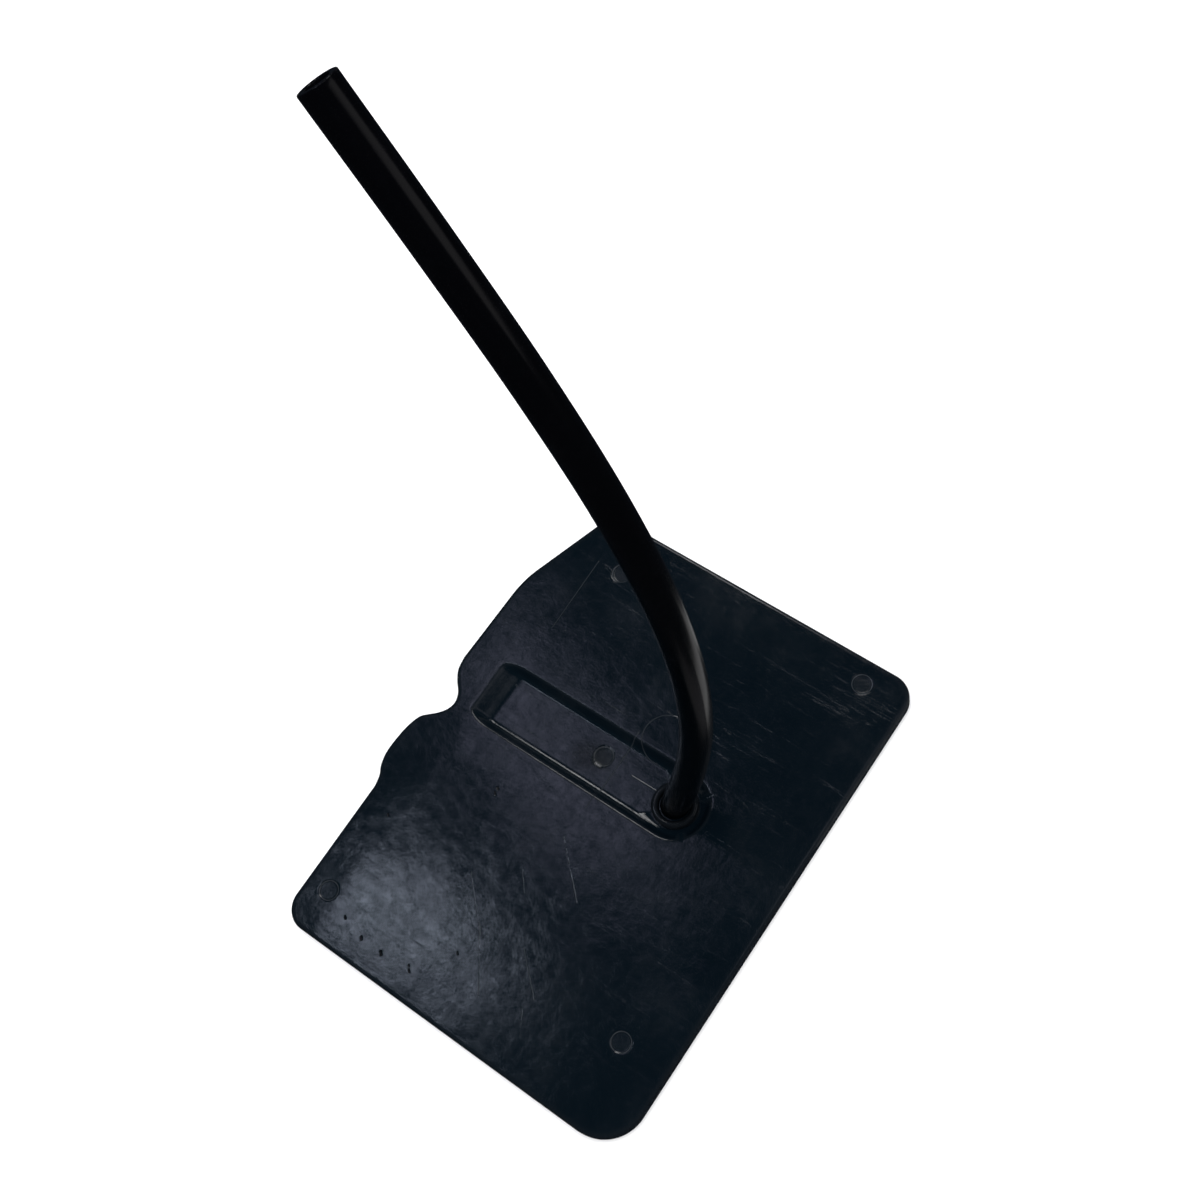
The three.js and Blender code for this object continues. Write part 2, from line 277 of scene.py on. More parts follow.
def trough_share(x, y):
    """How far in a point is from the trough's rim: 0 on the rim, 1 at the foot of the
    wall. The side wall is measured from the middle line (or the socket past its end)
    and the ramp along X, and the two shortfalls are joined as a circle joins them."""
    past_end = np.minimum(x - SOCKET[0], 0.0)
    from_middle = np.hypot(past_end, y - SOCKET[1])
    side = (TROUGH_RIM_RADIUS - from_middle) / TROUGH_WALL_RUN
    end = (TROUGH_END - x) / TROUGH_RAMP_RUN
    shortfall = np.hypot(np.maximum(1.0 - side, 0.0), np.maximum(1.0 - end, 0.0))
    return 1.0 - shortfall


def plate_top(x, y):
    """Height of the top face: the slab's thickness, less a slope that starts softly at
    the margin line, less the trough, less the round marks, plus the pad in the socket,
    plus a slow unevenness of a few tenths of a millimetre from sines of X and Y."""
    over = (x - MARGIN_START) / MARGIN_BLEND
    margin = MARGIN_BLEND * np.logaddexp(0.0, over) * MARGIN_SLOPE
    uneven = 0.00012 * np.sin(31 * x + 1.3) * np.sin(26 * y - 0.6)
    uneven = uneven + 0.00007 * np.sin(74 * x - 47 * y) + 0.00005 * np.sin(58 * x + 83 * y)
    trough = TROUGH_DEPTH * soft_ramp(trough_share(x, y), 0.20, 0.50)
    height = PLATE_TOP - margin - trough + np.minimum(uneven, 0.0)
    for mark_x, mark_y in MARKS:
        away = np.hypot(x - mark_x, y - mark_y)
        height = height - MARK_DEPTH * soft_ramp((MARK_RADIUS - away) / MARK_WALL, 0.4, 0.4)
    from_socket = np.hypot(x - SOCKET[0], y - SOCKET[1])
    pad = soft_ramp((PAD_RADIUS + 0.0004 - from_socket) / 0.0008, 0.3, 0.5)
    return height + (PAD_TOP - height) * pad


def arc(centre, radius, start, end, count=60):
    """Points of a circular arc, angles in degrees."""
    angle = np.radians(np.linspace(start, end, count))
    return np.stack(
        [centre[0] + radius * np.cos(angle), centre[1] + radius * np.sin(angle)], axis=1
    )


def bend_through(a, control, b, count=24):
    """Points of the parabola from a to b that heads for control at both ends."""
    t = np.linspace(0, 1, count)[:, None]
    return (1 - t) ** 2 * np.array(a) + 2 * t * (1 - t) * np.array(control) + t**2 * np.array(b)


def smooth_through(points, count):
    """A centripetal Catmull-Rom curve: cubic pieces through the points, each with
    end slopes from its neighbours, and the step along it going by the square root of
    the distance between points. Returns count samples for each piece, and the end."""
    points = np.asarray(points, float)
    first = 2 * points[0] - points[1]
    last = 2 * points[-1] - points[-2]
    p = np.vstack([first, points, last])
    step = np.sqrt(np.linalg.norm(np.diff(p, axis=0), axis=1))[:, None]
    d0, d1, d2 = step[:-2], step[1:-1], step[2:]
    p0, p1, p2, p3 = p[:-3], p[1:-2], p[2:-1], p[3:]
    out = ((p1 - p0) / d0 - (p2 - p0) / (d0 + d1) + (p2 - p1) / d1) * d1
    into = ((p2 - p1) / d1 - (p3 - p1) / (d1 + d2) + (p3 - p2) / d2) * d1
    t = np.linspace(0, 1, count, endpoint=False)[None, :, None]
    p1, p2, out, into = (value[:, None, :] for value in (p1, p2, out, into))
    curve = (
        (2 * t**3 - 3 * t**2 + 1) * p1
        + (t**3 - 2 * t**2 + t) * out
        + (3 * t**2 - 2 * t**3) * p2
        + (t**3 - t**2) * into
    )
    return np.vstack([curve.reshape(-1, points.shape[1]), points[-1:]])


def spaced_along(points, shares):
    """The points at the given shares of a polyline's length."""
    length = np.concatenate([[0], np.cumsum(np.linalg.norm(np.diff(points, axis=0), axis=1))])
    wanted = np.asarray(shares) * length[-1]
    return np.stack(
        [np.interp(wanted, length, points[:, axis]) for axis in range(points.shape[1])], axis=1
    )


def graded_lines(low, high, cells, bands, fine):
    """Cell edges from low to high, packed fine times closer inside the bands: equal
    steps of the running total of a density that is 1 outside the bands and fine inside."""
    fine_grid = np.linspace(low, high, 4001)
    density = np.ones_like(fine_grid)
    for band_low, band_high in bands:
        edge = 0.004
        inside = 0.5 * (
            np.tanh((fine_grid - band_low) / edge) - np.tanh((fine_grid - band_high) / edge)
        )
        density = np.maximum(density, 1 + (fine - 1) * inside)
    total = np.concatenate([[0], np.cumsum((density[1:] + density[:-1]) / 2)])
    return np.interp(np.linspace(0, total[-1], cells + 1), total, fine_grid)


def mesh_object(name, vertices, quads, uv=None):
    """A mesh object at the origin from arrays of vertices and quads; uv is an array of
    one pair for each quad corner."""
    mesh = bpy.data.meshes.new(name)
    mesh.vertices.add(len(vertices))
    mesh.vertices.foreach_set("co", np.asarray(vertices, np.float32).ravel())
    mesh.loops.add(quads.size)
    mesh.loops.foreach_set("vertex_index", quads.astype(np.int32).ravel())
    mesh.polygons.add(len(quads))
    mesh.polygons.foreach_set("loop_start", np.arange(0, quads.size, 4, dtype=np.int32))
    mesh.update(calc_edges=True)
    if uv is not None:
        layer = mesh.uv_layers.new(name="surface")
        layer.data.foreach_set("uv", np.asarray(uv, np.float32).ravel())
    made = bpy.data.objects.new(name, mesh)
    scene.collection.objects.link(made)
    return made


def finish_mesh(piece, crease_degrees=38):
    """Shades a piece smooth, with every edge sharper than the given angle kept crisp."""
    mesh = piece.data
    mesh.polygons.foreach_set("use_smooth", np.ones(len(mesh.polygons), bool))
    mesh.set_sharp_from_angle(angle=math.radians(crease_degrees))
    mesh.update()


def ring_quads(rings, around, start=0, turned=False):
    """Quads between rings of a stack, each ring closed on itself."""
    ring = np.arange(rings - 1)[:, None] * around
    here = np.arange(around)[None, :]
    following = (here + 1) % around
    corners = [ring + here, ring + following, ring + around + following, ring + around + here]
    quads = start + np.stack(corners, axis=-1).reshape(-1, 4)
    return quads[:, ::-1] if turned else quads


# Sides of the outline, anticlockwise from the middle of the corner at -X -Y.
corner_sw = (PLATE_LEFT + SMALL_CORNER, PLATE_NEAR + SMALL_CORNER)
corner_ne = (PLATE_RIGHT - SMALL_CORNER, PLATE_FAR - SMALL_CORNER)
corner_nw = (PLATE_LEFT + LARGE_CORNER, PLATE_FAR - LARGE_CORNER)
clipped = bend_through(*CLIPPED_CORNER)
near_side = np.vstack([arc(corner_sw, SMALL_CORNER, 225, 270), clipped[:12]])
notch_side = np.vstack([
    clipped[11:],
    bend_through(*CLIPPED_SHOULDER),
    smooth_through(NOTCHED_EDGE, 12),
    arc(corner_ne, SMALL_CORNER, 0, 45),
])
far_side = np.vstack([
    arc(corner_ne, SMALL_CORNER, 45, 90), arc(corner_nw, LARGE_CORNER, 90, 135)])
left_side = np.vstack([
    arc(corner_nw, LARGE_CORNER, 135, 180), arc(corner_sw, SMALL_CORNER, 180, 225)])

# Grid of the top, square to the trough and closer at its walls and at the marks, with
# a square block of cells left out round the socket.
GRID_X = (-0.157, 0.163)
GRID_Y = (-0.208, 0.206)
GRID_CELLS_X = 214
GRID_CELLS_Y = 266
bands_x = [(-0.091, -0.076), (0.122, 0.148)] + [
    (mark_x - 0.0105, mark_x + 0.0105) for mark_x, mark_y in MARKS]
bands_y = [
    (SOCKET[1] - 0.033, SOCKET[1] - 0.021), (SOCKET[1] + 0.021, SOCKET[1] + 0.033)
] + [(mark_y - 0.0105, mark_y + 0.0105) for mark_x, mark_y in MARKS]


def with_block(lines, middle):
    """Moves the lines nearest the block to make BLOCK_CELLS equal cells across it."""
    first = int(np.argmin(np.abs(lines - (middle - BLOCK_HALF))))
    inner = np.linspace(middle - BLOCK_HALF, middle + BLOCK_HALF, BLOCK_CELLS + 1)
    spread_low = np.interp(np.arange(first), [0, first], [lines[0], inner[0]])
    rest = len(lines) - first - BLOCK_CELLS
    after = lines[lines > inner[-1] + 1e-6]
    after = np.interp(np.linspace(0, len(after), rest), np.arange(len(after) + 1),
                      np.concatenate([[inner[-1]], after]))
    before = lines[lines < inner[0] - 1e-6]
    before = np.interp(np.linspace(0, len(before), len(spread_low) + 1),
                       np.arange(len(before) + 1), np.concatenate([before, [inner[0]]]))
    return np.concatenate([before[:-1], inner, after[1:]]), first


lines_x, block_x = with_block(graded_lines(*GRID_X, GRID_CELLS_X, bands_x, 2.2), SOCKET[0])
lines_y, block_y = with_block(graded_lines(*GRID_Y, GRID_CELLS_Y, bands_y, 2.2), SOCKET[1])
cells_x = len(lines_x) - 1
cells_y = len(lines_y) - 1
grid_x, grid_y = np.meshgrid(lines_x, lines_y)
# The grid is drawn in along X beside the clipped corner and beside the notch, by smooth
# bumps that grow towards its edge.
corner_pull = np.clip((grid_x - 0.03) / 0.133, 0, 1) * np.clip((-0.09 - grid_y) / 0.118, 0, 1)
notch_pull = np.clip((grid_x - 0.12) / 0.043, 0, 1) * np.exp(-(((grid_y + 0.005) / 0.022) ** 2))
grid_x = grid_x - 0.033 * corner_pull**1.5 - 0.016 * notch_pull**1.5
grid_points = np.stack([grid_x, grid_y], axis=-1).reshape(-1, 2)
grid_index = np.arange(len(grid_points)).reshape(cells_y + 1, cells_x + 1)
cell = np.stack(
    [grid_index[:-1, :-1], grid_index[:-1, 1:], grid_index[1:, 1:], grid_index[1:, :-1]],
    axis=-1,
)
in_block = np.zeros((cells_y, cells_x), bool)
in_block[block_y:block_y + BLOCK_CELLS, block_x:block_x + BLOCK_CELLS] = True
grid_quads = cell[~in_block]


def loop_round(index, low_row, high_row, low_column, high_column):
    """Vertex numbers round a rectangle of the grid, anticlockwise from its low corner."""
    return np.concatenate([
        index[low_row, low_column:high_column],
        index[low_row:high_row, high_column],
        index[high_row, high_column:low_column:-1],
        index[high_row:low_row:-1, low_column],
    ])


outer_loop = grid_points[loop_round(grid_index, 0, cells_y, 0, cells_x)]
block_loop = grid_points[loop_round(
    grid_index, block_y, block_y + BLOCK_CELLS, block_x, block_x + BLOCK_CELLS)]
shares_x = (lines_x - lines_x[0]) / (lines_x[-1] - lines_x[0])
shares_y = (lines_y - lines_y[0]) / (lines_y[-1] - lines_y[0])
outline = np.vstack([
    spaced_along(near_side, shares_x[:-1]),
    spaced_along(notch_side, shares_y[:-1]),
    spaced_along(far_side, (1 - shares_x)[:0:-1]),
    spaced_along(left_side, (1 - shares_y)[:0:-1]),
])
around_outline = len(outline)
heading = np.roll(outline, -1, axis=0) - np.roll(outline, 1, axis=0)
heading = heading / np.linalg.norm(heading, axis=1)[:, None]
outward = np.stack([heading[:, 1], -heading[:, 0]], axis=1)

# Border: rings from the grid out to the rounded edge, then down the side.
BORDER_INSET = 0.0055
border_steps = np.linspace(0, 1, 9)[:, None, None]
inset_loop = outline - outward * BORDER_INSET
border = outer_loop * (1 - border_steps) + inset_loop * border_steps
border = np.dstack([border, plate_top(border[..., 0], border[..., 1])])
turn = np.radians(np.linspace(0, 90, 9))
edge_inset = np.concatenate([[0.0042], EDGE_RADIUS * (1 - np.sin(turn))])
edge_drop = np.concatenate([[0.0], EDGE_RADIUS * (1 - np.cos(turn))])
edge_xy = outline - outward * edge_inset[:, None, None]
edge_top = plate_top(edge_xy[..., 0], edge_xy[..., 1])
edge = np.dstack([edge_xy, edge_top - edge_drop[:, None]])
foot_turn = np.radians(np.linspace(0, 90, 6))
foot_inset = FOOT_RADIUS * (1 - np.cos(foot_turn))
foot_height = FOOT_RADIUS * (1 - np.sin(foot_turn))
foot_inset = np.concatenate([foot_inset, [FOOT_RADIUS + FOOT_FLAT]])
foot_height = np.concatenate([foot_height, [0.0]])
foot_xy = outline - outward * foot_inset[:, None, None]
foot = np.dstack([foot_xy, np.broadcast_to(foot_height[:, None], foot_xy.shape[:2])])
rim_rings = np.concatenate([border, edge, foot])

# Socket: rings from the square block in to the pad and down the screw's hole, then out
# across the counterbore in the underside.
block_angle = np.arctan2(block_loop[:, 1] - SOCKET[1], block_loop[:, 0] - SOCKET[0])
circle = np.stack([np.cos(block_angle), np.sin(block_angle)], axis=1)
socket_radii = np.concatenate([
    np.linspace(0.0222, 0.0152, 7), PAD_RADIUS + np.array([0.0004, 0.0002, 0, -0.0002, -0.0004]),
    [0.011, 0.007, SCREW_HOLE_RADIUS]])
socket_xy = SOCKET + circle * socket_radii[:, None, None]
socket_xy = np.concatenate([block_loop[None], socket_xy])
socket_top = np.dstack([socket_xy, plate_top(socket_xy[..., 0], socket_xy[..., 1])])
under_radii = np.array([
    SCREW_HOLE_RADIUS, COUNTERBORE_RADIUS, COUNTERBORE_RADIUS, COUNTERBORE_RADIUS + 0.0004,
    0.05])
under_height = np.array([COUNTERBORE_TOP, COUNTERBORE_TOP, 0.0004, 0.0, 0.0])
under_xy = SOCKET + circle * under_radii[:, None, None]
under = np.dstack([under_xy, np.broadcast_to(under_height[:, None], under_xy.shape[:2])])
socket_rings = np.concatenate([socket_top, under])

grid_top = np.column_stack([grid_points, plate_top(grid_points[:, 0], grid_points[:, 1])])
rim_start = len(grid_top)
socket_start = rim_start + rim_rings.shape[0] * around_outline
plate_points = np.vstack([grid_top, rim_rings.reshape(-1, 3), socket_rings.reshape(-1, 3)])
plate_quads = np.vstack([
    grid_quads,
    ring_quads(rim_rings.shape[0], around_outline, rim_start, turned=True),
    ring_quads(socket_rings.shape[0], len(block_loop), socket_start),
])
plate = mesh_object("moulded_plate", plate_points, plate_quads)

# The flat underside: one many-sided face for each step of the socket's ring, which
# reaches out to the ten outline points beyond it.
shape = bmesh.new()
shape.from_mesh(plate.data)
shape.verts.ensure_lookup_table()
last_foot = rim_start + (rim_rings.shape[0] - 1) * around_outline
last_socket = socket_start + (socket_rings.shape[0] - 1) * len(block_loop)
per_step = around_outline // len(block_loop)
for step in range(len(block_loop)):
    outer = [last_foot + (step * per_step + k) % around_outline for k in range(per_step + 1)]
    inner = [last_socket + (step + 1) % len(block_loop), last_socket + step]
    shape.faces.new([shape.verts[i] for i in (outer + inner)][::-1])
bmesh.ops.remove_doubles(shape, verts=shape.verts, dist=1e-6)
unused = [vertex for vertex in shape.verts if not vertex.link_faces]
bmesh.ops.delete(shape, geom=unused, context="VERTS")
shape.to_mesh(plate.data)
shape.free()
finish_mesh(plate, 50)

# Lighter tint for each point: 1 on the plate's rounded edge, partly rubbing and partly a painted
# highlight, and 0.7 on the trough's rim, a painted highlight line.
plate_xyz = np.empty(len(plate.data.vertices) * 3, np.float32)
plate.data.vertices.foreach_get("co", plate_xyz)
plate_xyz = plate_xyz.reshape(-1, 3).astype(float)
step_away = np.full(len(plate_xyz), np.inf)
for part_of_outline in np.array_split(outline[::2], 12):
    gap = np.linalg.norm(plate_xyz[:, None, :2] - part_of_outline[None], axis=2).min(axis=1)
    step_away = np.minimum(step_away, gap)
rim_share = trough_share(plate_xyz[:, 0], plate_xyz[:, 1])
wear_and_highlight = np.maximum(
    np.exp(-((step_away / 0.0035) ** 2)), 0.7 * np.exp(-((rim_share - 0.06) / 0.12) ** 2))
wear_and_highlight = wear_and_highlight * (plate_xyz[:, 2] > 0.004)
plate.data.attributes.new("wear_and_highlight", "FLOAT", "POINT").data.foreach_set(
    "value", wear_and_highlight.astype(np.float32))


def new_group(name, inputs, outputs):
    """A shader node group with its named sockets: each input is a name, a kind and a
    starting value, each output a name and a kind."""
    group = bpy.data.node_groups.new(name, "ShaderNodeTree")
    for socket_name, kind, value in inputs:
        socket = group.interface.new_socket(
            name=socket_name, in_out="INPUT", socket_type="NodeSocket" + kind)
        if value is not None:
            socket.default_value = value
    for socket_name, kind in outputs:
        group.interface.new_socket(
            name=socket_name, in_out="OUTPUT", socket_type="NodeSocket" + kind)
    return group, group.nodes.new("NodeGroupInput"), group.nodes.new("NodeGroupOutput")


# Rubbed patches: soft-edged clouds, where two sizes of noise are high together.
rubbed, rubbed_in, rubbed_out = new_group(
    "rubbed patches",
    [("Vector", "Vector", None), ("Size", "Float", 12.0), ("Spread", "Float", 0.5)],
    [("Mask", "Float")])
large = noise(rubbed, rubbed_in.outputs["Vector"],
                 Scale=rubbed_in.outputs["Size"], Detail=5.0, Roughness=0.62)
small_size = times(rubbed, rubbed_in.outputs["Size"], 5.3)
small = noise(rubbed, rubbed_in.outputs["Vector"],
                 Scale=small_size, Detail=6.0, Roughness=0.7, Distortion=0.6)
both = times(rubbed, large, maths(rubbed, "ADD", small, 0.5))
floor_level = minus(rubbed, 0.86, times(rubbed, rubbed_in.outputs["Spread"], 0.6))
above = minus(rubbed, both, floor_level)
rubbed.links.new(times(rubbed, above, 2.4, clamp=True), rubbed_out.inputs["Mask"])

# Fine scratches: noise squeezed into hair-thin lines at three angles, each kept only
# where a slower noise is high, so that the lines are short and come in bundles.
scratched, scratched_in, scratched_out = new_group(
    "fine scratches",
    [("Vector", "Vector", None), ("Density", "Float", 14.0), ("Amount", "Float", 0.5)],
    [("Mask", "Float")])
scratch_sum = 0.0
for angle, squeeze, offset in ((28, 30, 0.0), (-52, 38, 3.7), (81, 26, 7.9)):
    turned = add_node(scratched, "ShaderNodeMapping",
                      Vector=scratched_in.outputs["Vector"],
                      Rotation=(0, 0, math.radians(angle)),
                      Location=(offset, offset, 0.0), Scale=(1.6, squeeze, 1.6))
    lines = noise(scratched, turned.outputs[0],
                     Scale=scratched_in.outputs["Density"], Detail=2.0, Roughness=0.5,
                     Distortion=0.4)
    off_middle = maths(scratched, "ABSOLUTE", minus(scratched, lines, 0.5))
    thin = minus(scratched, 1.0, times(scratched, off_middle, 90.0), clamp=True)
    where = noise(scratched, turned.outputs[0],
                     Scale=times(scratched, scratched_in.outputs["Density"], 0.35), Detail=3.0)
    least = minus(scratched, 0.78, times(scratched, scratched_in.outputs["Amount"], 0.3))
    kept = times(scratched, minus(scratched, where, least), 7.0, clamp=True)
    scratch_sum = maths(scratched, "MAXIMUM", scratch_sum, times(scratched, thin, kept))
scratched.links.new(scratch_sum, scratched_out.inputs["Mask"])

# Moulded grain: the fine matt texture of pressed rubber, and slower dimples under it.
grained, grained_in, grained_out = new_group(
    "moulded grain", [("Vector", "Vector", None), ("Size", "Float", 900.0)],
    [("Height", "Float")])
grain_fine = noise(grained, grained_in.outputs["Vector"],
                      Scale=grained_in.outputs["Size"], Detail=3.0, Roughness=0.6)
grain_slow = noise(grained, grained_in.outputs["Vector"], Detail=4.0,
                   Scale=times(grained, grained_in.outputs["Size"], 0.12))
grained.links.new(
    maths(grained, "ADD", times(grained, grain_fine, 0.35),
          times(grained, grain_slow, 0.65)),
    grained_out.inputs["Height"])


def use_group(tree, group, **sockets):
    """Places a node group, sets or links its inputs and hands back its one output."""
    return add_node(tree, "ShaderNodeGroup", {"node_tree": group}, **sockets).outputs[0]


def blend_colour(tree, share, first, second):
    """Mixes two colours, each a value or a socket, by a socket from 0 to 1."""
    made = tree.nodes.new("ShaderNodeMix")
    made.data_type = "RGBA"
    tree.links.new(share, made.inputs[0])
    for place, value in ((6, first), (7, second)):
        if isinstance(value, bpy.types.NodeSocket):
            tree.links.new(value, made.inputs[place])
        else:
            made.inputs[place].default_value = value
    return made.outputs[2]


def tint(tree, colour, mask, share, over):
    """The colour with a second one laid over it by a share of the mask."""
    return blend_colour(tree, times(tree, mask, share), colour, over)


def length_of(tree, x, y):
    """The square root of X squared plus Y squared."""
    return maths(tree, "SQRT", maths(tree, "ADD", times(tree, x, x), times(tree, y, y)))


def new_material(name):
    """A material with nodes, and its node tree."""
    made = bpy.data.materials.new(name)
    made.use_nodes = True
    return made, made.node_tree


def link_surface(tree, colour, rough, bump):
    """Links a colour, a roughness and a bumped normal to the surface; returns it."""
    shader = tree.nodes["Principled BSDF"]
    tree.links.new(colour, shader.inputs["Base Color"])
    tree.links.new(rough, shader.inputs["Roughness"])
    tree.links.new(bump.outputs[0], shader.inputs["Normal"])
    return shader


def line_mask(tree, x, y, start, end, half_width):
    """1 on the straight line between two points and 0 past half_width from it, from
    the distance to the nearest point of the line."""
    run = (end[0] - start[0], end[1] - start[1])
    length_squared = run[0] ** 2 + run[1] ** 2
    off_x = minus(tree, x, start[0])
    off_y = minus(tree, y, start[1])
    along = maths(tree, "ADD", times(tree, off_x, run[0] / length_squared),
                  times(tree, off_y, run[1] / length_squared), clamp=True)
    gap_x = minus(tree, off_x, times(tree, along, run[0]))
    gap_y = minus(tree, off_y, times(tree, along, run[1]))
    away = length_of(tree, gap_x, gap_y)
    return minus(tree, 1.0, maths(tree, "DIVIDE", away, half_width), clamp=True)


PLATE_DARK = (0.0006, 0.0022, 0.0040, 1.0)
PLATE_LIGHT = (0.0018, 0.0042, 0.0066, 1.0)
PLATE_RUBBED_AND_HIGHLIGHT = (0.0120, 0.0135, 0.0160, 1.0)
PLATE_SCRATCH_AND_HIGHLIGHT = (0.0500, 0.0540, 0.0600, 1.0)
PIT_AND_SHADE_DARK = (0.0015, 0.0018, 0.0020, 1.0)
# Long scratches, joint lines of the mould and small pits, as places on the plate
LONG_SCRATCHES = [
    ((-0.011, 0.188), (0.023, 0.140), 0.0007), ((0.018, 0.146), (0.056, 0.108), 0.0006),
    ((-0.036, 0.080), (0.006, 0.040), 0.0006), ((-0.060, 0.195), (-0.048, 0.176), 0.0005),
    ((0.006, 0.098), (0.020, 0.082), 0.0004), ((-0.052, 0.165), (-0.020, 0.135), 0.0004),
]
MOULD_LINES = [
    ((0.0046, -0.0120), (0.0038, -0.0700), 0.0006), ((0.1260, -0.1830), (0.1253, -0.1100), 0.0006),
    ((-0.036, -0.0365), (-0.011, -0.0362), 0.0006), ((0.0046, -0.0210), (0.0046, 0.010), 0.0004),
]
PITS = [
    (0.050, 0.2045, 0.0014), (0.053, 0.2010, 0.0011), (0.0795, 0.2065, 0.0019),
    (0.1020, 0.2060, 0.0016), (0.0240, 0.1700, 0.0013), (0.1250, 0.2000, 0.0014),
    (0.0785, 0.0420, 0.0014), (0.0790, 0.0370, 0.0012), (0.1480, 0.1080, 0.0012),
]

# Arc left by a round insert of the mould: its centre, radius and half width, and how
# far to the left of its centre it starts
MOULD_ARC = (-0.0205, -0.0775)
MOULD_ARC_RADIUS = 0.0218
MOULD_ARC_HALF_WIDTH = 0.0006
MOULD_ARC_FROM_X = -0.004
# A patch beside the round mark in the trough: painted shade that darkens its colour, and a rise in
# roughness
DULL_SHADED_PATCH = [(0.034, -0.030), (0.024, -0.034)]
DULL_SHADED_PATCH_RADIUS = 0.018

plate_material, tree = new_material("pressed rubber")
place = tree.nodes.new("ShaderNodeTexCoord").outputs["Object"]
split = add_node(tree, "ShaderNodeSeparateXYZ", Vector=place)
plate_x, plate_y = split.outputs[0], split.outputs[1]
clouds = noise(tree, place, Scale=16.0, Detail=5.0, Roughness=0.6)
mottle = noise(tree, place, Scale=95.0, Detail=6.0, Roughness=0.75, Distortion=0.8)
drawn_out = add_node(tree, "ShaderNodeMapping", Vector=place, Scale=(1.0, 0.12, 1.0))
wiped = noise(tree, drawn_out.outputs[0], Scale=150.0, Detail=5.0, Roughness=0.65, Distortion=0.3)
patches = use_group(tree, rubbed, Vector=place, Size=17.0, Spread=0.55)
scratches = use_group(tree, scratched, Vector=place, Density=15.0, Amount=0.60)
grain = use_group(tree, grained, Vector=place, Size=1100.0)
worn_and_highlight = add_node(tree, "ShaderNodeAttribute", {"attribute_name": "wear_and_highlight"}).outputs["Fac"]
wobble = noise(tree, place, Scale=120.0, Detail=3.0)
wobble_shift = times(tree, minus(tree, wobble, 0.5), 0.0022)
shaky_x = maths(tree, "ADD", plate_x, wobble_shift)
shaky_y = maths(tree, "ADD", plate_y, wobble_shift)
long_scratch = 0.0
for start, end, half_width in LONG_SCRATCHES:
    long_scratch = maths(tree, "MAXIMUM", long_scratch, line_mask(
        tree, shaky_x, shaky_y, start, end, half_width))
broken = times(tree, minus(tree, wobble, 0.33), 4.0, clamp=True)
long_scratch = times(tree, long_scratch, broken)
mould_line = 0.0
for start, end, half_width in MOULD_LINES:
    mould_line = maths(tree, "MAXIMUM", mould_line, line_mask(
        tree, plate_x, plate_y, start, end, half_width))
off_x = minus(tree, plate_x, MOULD_ARC[0])
off_y = minus(tree, plate_y, MOULD_ARC[1])
away = length_of(tree, off_x, off_y)
from_arc = maths(tree, "ABSOLUTE", minus(tree, away, MOULD_ARC_RADIUS))
arc_line = minus(tree, 1.0, maths(tree, "DIVIDE", from_arc, MOULD_ARC_HALF_WIDTH), clamp=True)
arc_line = times(tree, arc_line, maths(tree, "GREATER_THAN", off_x, MOULD_ARC_FROM_X))
mould_line = maths(tree, "MAXIMUM", mould_line, arc_line)
# A lighter ring round the rim of each round mark, broken up by noise: a painted highlight.
mark_rim_highlight = 0.0
mark_disc = 0.0
for mark_x, mark_y in MARKS:
    off_x = minus(tree, plate_x, mark_x)
    off_y = minus(tree, plate_y, mark_y)
    away = length_of(tree, off_x, off_y)
    from_rim = maths(tree, "ABSOLUTE", minus(tree, away, MARK_RADIUS - 0.0004))
    this_ring = minus(tree, 1.0, maths(tree, "DIVIDE", from_rim, 0.0007), clamp=True)
    mark_rim_highlight = maths(tree, "MAXIMUM", mark_rim_highlight, this_ring)
    mark_disc = maths(tree, "MAXIMUM", mark_disc, maths(
        tree, "LESS_THAN", away, MARK_RADIUS - 0.0008))
mark_rim_highlight = times(tree, mark_rim_highlight, times(tree, wobble, 1.5, clamp=True))
pits = 0.0
for pit_x, pit_y, radius in PITS:
    pits = maths(tree, "MAXIMUM", pits, line_mask(
        tree, shaky_x, shaky_y, (pit_x, pit_y), (pit_x + radius, pit_y - radius), radius))
pits = times(tree, pits, 1.8, clamp=True)

colour = blend_colour(tree, clouds, PLATE_DARK, PLATE_LIGHT)
colour = tint(tree, colour, patches, 0.25, PLATE_RUBBED_AND_HIGHLIGHT)
# Painted highlight: the rounded edge, partly rubbing, and the trough's rim line are tinted
# lighter.
colour = tint(tree, colour, worn_and_highlight, 0.35, PLATE_RUBBED_AND_HIGHLIGHT)
colour = tint(tree, colour, scratches, 0.10, PLATE_SCRATCH_AND_HIGHLIGHT)
colour = tint(tree, colour, long_scratch, 0.6, PLATE_SCRATCH_AND_HIGHLIGHT)
dull_shaded_patch = line_mask(tree, shaky_x, shaky_y, DULL_SHADED_PATCH[0], DULL_SHADED_PATCH[1], DULL_SHADED_PATCH_RADIUS)
dull_shaded_patch = maths(tree, "SMOOTH_MIN", times(tree, dull_shaded_patch, 1.6), 1.0, 0.3)
# Painted shade: the patch beside the round mark in the trough is darkened.
colour = tint(tree, colour, dull_shaded_patch, 0.4, PIT_AND_SHADE_DARK)
# Painted highlight: the raised mould lines are tinted lighter along their length.
colour = tint(tree, colour, mould_line, 0.3, PLATE_SCRATCH_AND_HIGHLIGHT)
